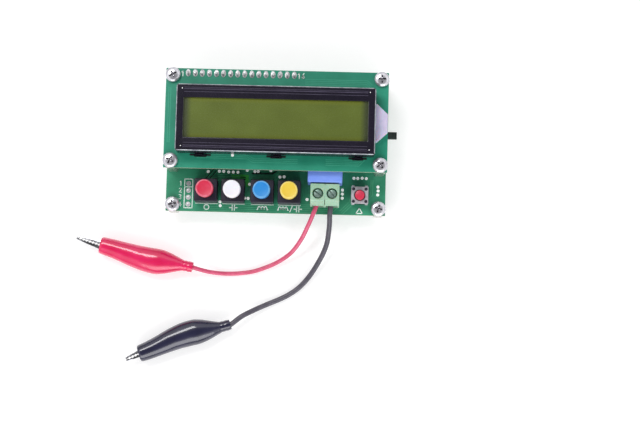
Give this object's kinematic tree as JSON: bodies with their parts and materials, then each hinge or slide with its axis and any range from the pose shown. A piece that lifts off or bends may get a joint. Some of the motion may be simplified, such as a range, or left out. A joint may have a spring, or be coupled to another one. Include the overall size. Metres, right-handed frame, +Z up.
{
  "type": "lcr meter",
  "caption": "Open-frame bench meter for inductance and capacitance: display board stacked on a main board, coloured push switches, screw terminal, two leads with booted crocodile clips.",
  "frame": {"origin": "on the surface the feet stand on, under the middle of the meter's box without its leads", "axes": "+X to the right along the display, +Y from the push switches towards the display, +Z up"},
  "size_m": [0.1163, 0.1056, 0.0272],
  "materials": {
    "main_board": "satin green solder mask over glass-fibre laminate",
    "display_board": "satin green solder mask over glass-fibre laminate",
    "bezel": "black satin lacquer on pressed steel",
    "display_glass": "olive-green liquid crystal glass, gloss",
    "lamp": "milky white light guide",
    "header_black": "black moulded strip with soldered pins",
    "plated_brass": "nickel plated",
    "plated_steel": "bright zinc or nickel plated",
    "switch_black": "black moulded plastic",
    "plunger_white": "white moulded plastic",
    "cap_red": "satin red plastic",
    "cap_white": "satin white plastic",
    "cap_blue": "satin blue plastic",
    "cap_yellow": "satin yellow plastic",
    "tinned_steel": "tinned steel sheet",
    "terminal_green": "pale green moulded plastic",
    "terminal_steel": "zinc-plated steel",
    "relay_blue": "blue moulded plastic",
    "lever_dark": "black moulded plastic",
    "chip_black": "black epoxy",
    "red_pvc": "glossy soft PVC, slightly translucent",
    "black_pvc": "glossy soft PVC",
    "clip_steel": "nickel-plated pressed steel"
  },
  "bodies": {
    "meter": {"main_pcb": "main_board", "lcd_pcb": "display_board", "lcd_bezel": "bezel", "lcd_glass": "display_glass", "lcd_backlight": "lamp", "lcd_header": "header_black", "header_socket": "header_black", "lcd_post_rear_left": "plated_brass", "lcd_post_rear_right": "plated_brass", "lcd_post_middle_left": "plated_brass", "lcd_post_middle_right": "plated_brass", "foot_rear_left": "plated_brass", "foot_rear_right": "plated_brass", "foot_front_left": "plated_brass", "foot_front_right": "plated_brass", "lcd_screw_rear_left": "plated_steel", "lcd_screw_rear_right": "plated_steel", "lcd_screw_middle_left": "plated_steel", "lcd_screw_middle_right": "plated_steel", "board_screw_front_left": "plated_steel", "board_screw_front_right": "plated_steel", "post_screw_middle_left": "plated_steel", "post_screw_middle_right": "plated_steel", "switch_case_zero": "switch_black", "switch_case_hi_c": "switch_black", "switch_case_hi_l": "switch_black", "switch_case_l_c": "switch_black", "func_case": "switch_black", "func_plate": "tinned_steel", "power_switch_case": "tinned_steel", "power_inlet": "tinned_steel", "terminal_housing": "terminal_green", "relay": "relay_blue", "controller_chip": "chip_black", "red_lead": "red_pvc", "red_boot": "red_pvc", "black_lead": "black_pvc", "black_boot": "black_pvc", "red_jaw_fixed": "clip_steel", "red_rivet": "clip_steel", "red_spring": "clip_steel", "black_jaw_fixed": "clip_steel", "black_rivet": "clip_steel", "black_spring": "clip_steel"},
    "zero_push": {"switch_plunger_zero": "plunger_white", "switch_cap_zero": "cap_red"},
    "hi_c_push": {"switch_plunger_hi_c": "plunger_white", "switch_cap_hi_c": "cap_white"},
    "hi_l_push": {"switch_plunger_hi_l": "plunger_white", "switch_cap_hi_l": "cap_blue"},
    "l_c_push": {"switch_plunger_l_c": "plunger_white", "switch_cap_l_c": "cap_yellow"},
    "func_key": {"func_button": "cap_red"},
    "power_lever": {"power_switch_lever": "lever_dark"},
    "red_terminal_screw": {"terminal_screw_red": "terminal_steel"},
    "red_terminal_cage": {"terminal_cage_red": "terminal_steel"},
    "black_terminal_screw": {"terminal_screw_black": "terminal_steel"},
    "black_terminal_cage": {"terminal_cage_black": "terminal_steel"},
    "red_jaw": {"red_jaw_moving": "clip_steel"},
    "black_jaw": {"black_jaw_moving": "clip_steel"}
  },
  "joints": [
    {"name": "zero_press", "type": "slide", "parent": "meter", "child": "zero_push", "axis": [0, 0, -1], "range_m": [0, 0.002], "stiffness_N_per_m": 300, "springref_m": -0.003},
    {"name": "hi_c_press", "type": "slide", "parent": "meter", "child": "hi_c_push", "axis": [0, 0, -1], "range_m": [0, 0.002], "stiffness_N_per_m": 300, "springref_m": -0.003},
    {"name": "hi_l_press", "type": "slide", "parent": "meter", "child": "hi_l_push", "axis": [0, 0, -1], "range_m": [0, 0.002], "stiffness_N_per_m": 300, "springref_m": -0.003},
    {"name": "l_c_press", "type": "slide", "parent": "meter", "child": "l_c_push", "axis": [0, 0, -1], "range_m": [0, 0.002], "stiffness_N_per_m": 300, "springref_m": -0.003},
    {"name": "func_press", "type": "slide", "parent": "meter", "child": "func_key", "axis": [0, 0, -1], "range_m": [0, 0.00025], "stiffness_N_per_m": 3000, "springref_m": -0.0003},
    {"name": "power_slide", "type": "slide", "parent": "meter", "child": "power_lever", "axis": [0, 1, 0], "range_m": [0, 0.002]},
    {"name": "red_screw_turn", "type": "hinge", "parent": "meter", "child": "red_terminal_screw", "pos_m": [0.01368, -0.0185, 0.0151], "axis": [0, 0, 1], "range_deg": [0, 720]},
    {"name": "red_cage_drop", "type": "slide", "parent": "meter", "child": "red_terminal_cage", "axis": [0, 0, -1], "range_m": [0, 0.001]},
    {"name": "black_screw_turn", "type": "hinge", "parent": "meter", "child": "black_terminal_screw", "pos_m": [0.01876, -0.0185, 0.0151], "axis": [0, 0, 1], "range_deg": [0, 720]},
    {"name": "black_cage_drop", "type": "slide", "parent": "meter", "child": "black_terminal_cage", "axis": [0, 0, -1], "range_m": [0, 0.001]},
    {"name": "red_jaw_open", "type": "hinge", "parent": "meter", "child": "red_jaw", "pos_m": [-0.06187, -0.03922, 0.0037], "axis": [0, 0, 1], "range_deg": [0, 21], "stiffness_Nm_per_rad": 0.04, "springref_deg": -51.57, "deforming": ["red_boot", "red_spring"]},
    {"name": "black_jaw_open", "type": "hinge", "parent": "meter", "child": "black_jaw", "pos_m": [-0.04285, -0.07397, 0.0037], "axis": [0, 0, 1], "range_deg": [0, 21], "stiffness_Nm_per_rad": 0.04, "springref_deg": -51.57, "deforming": ["black_boot", "black_spring"]}
  ],
  "couplings": [
    {"joint": "red_screw_turn", "follows": "red_cage_drop", "rad_per_m": 12566},
    {"joint": "black_screw_turn", "follows": "black_cage_drop", "rad_per_m": 12566}
  ]
}
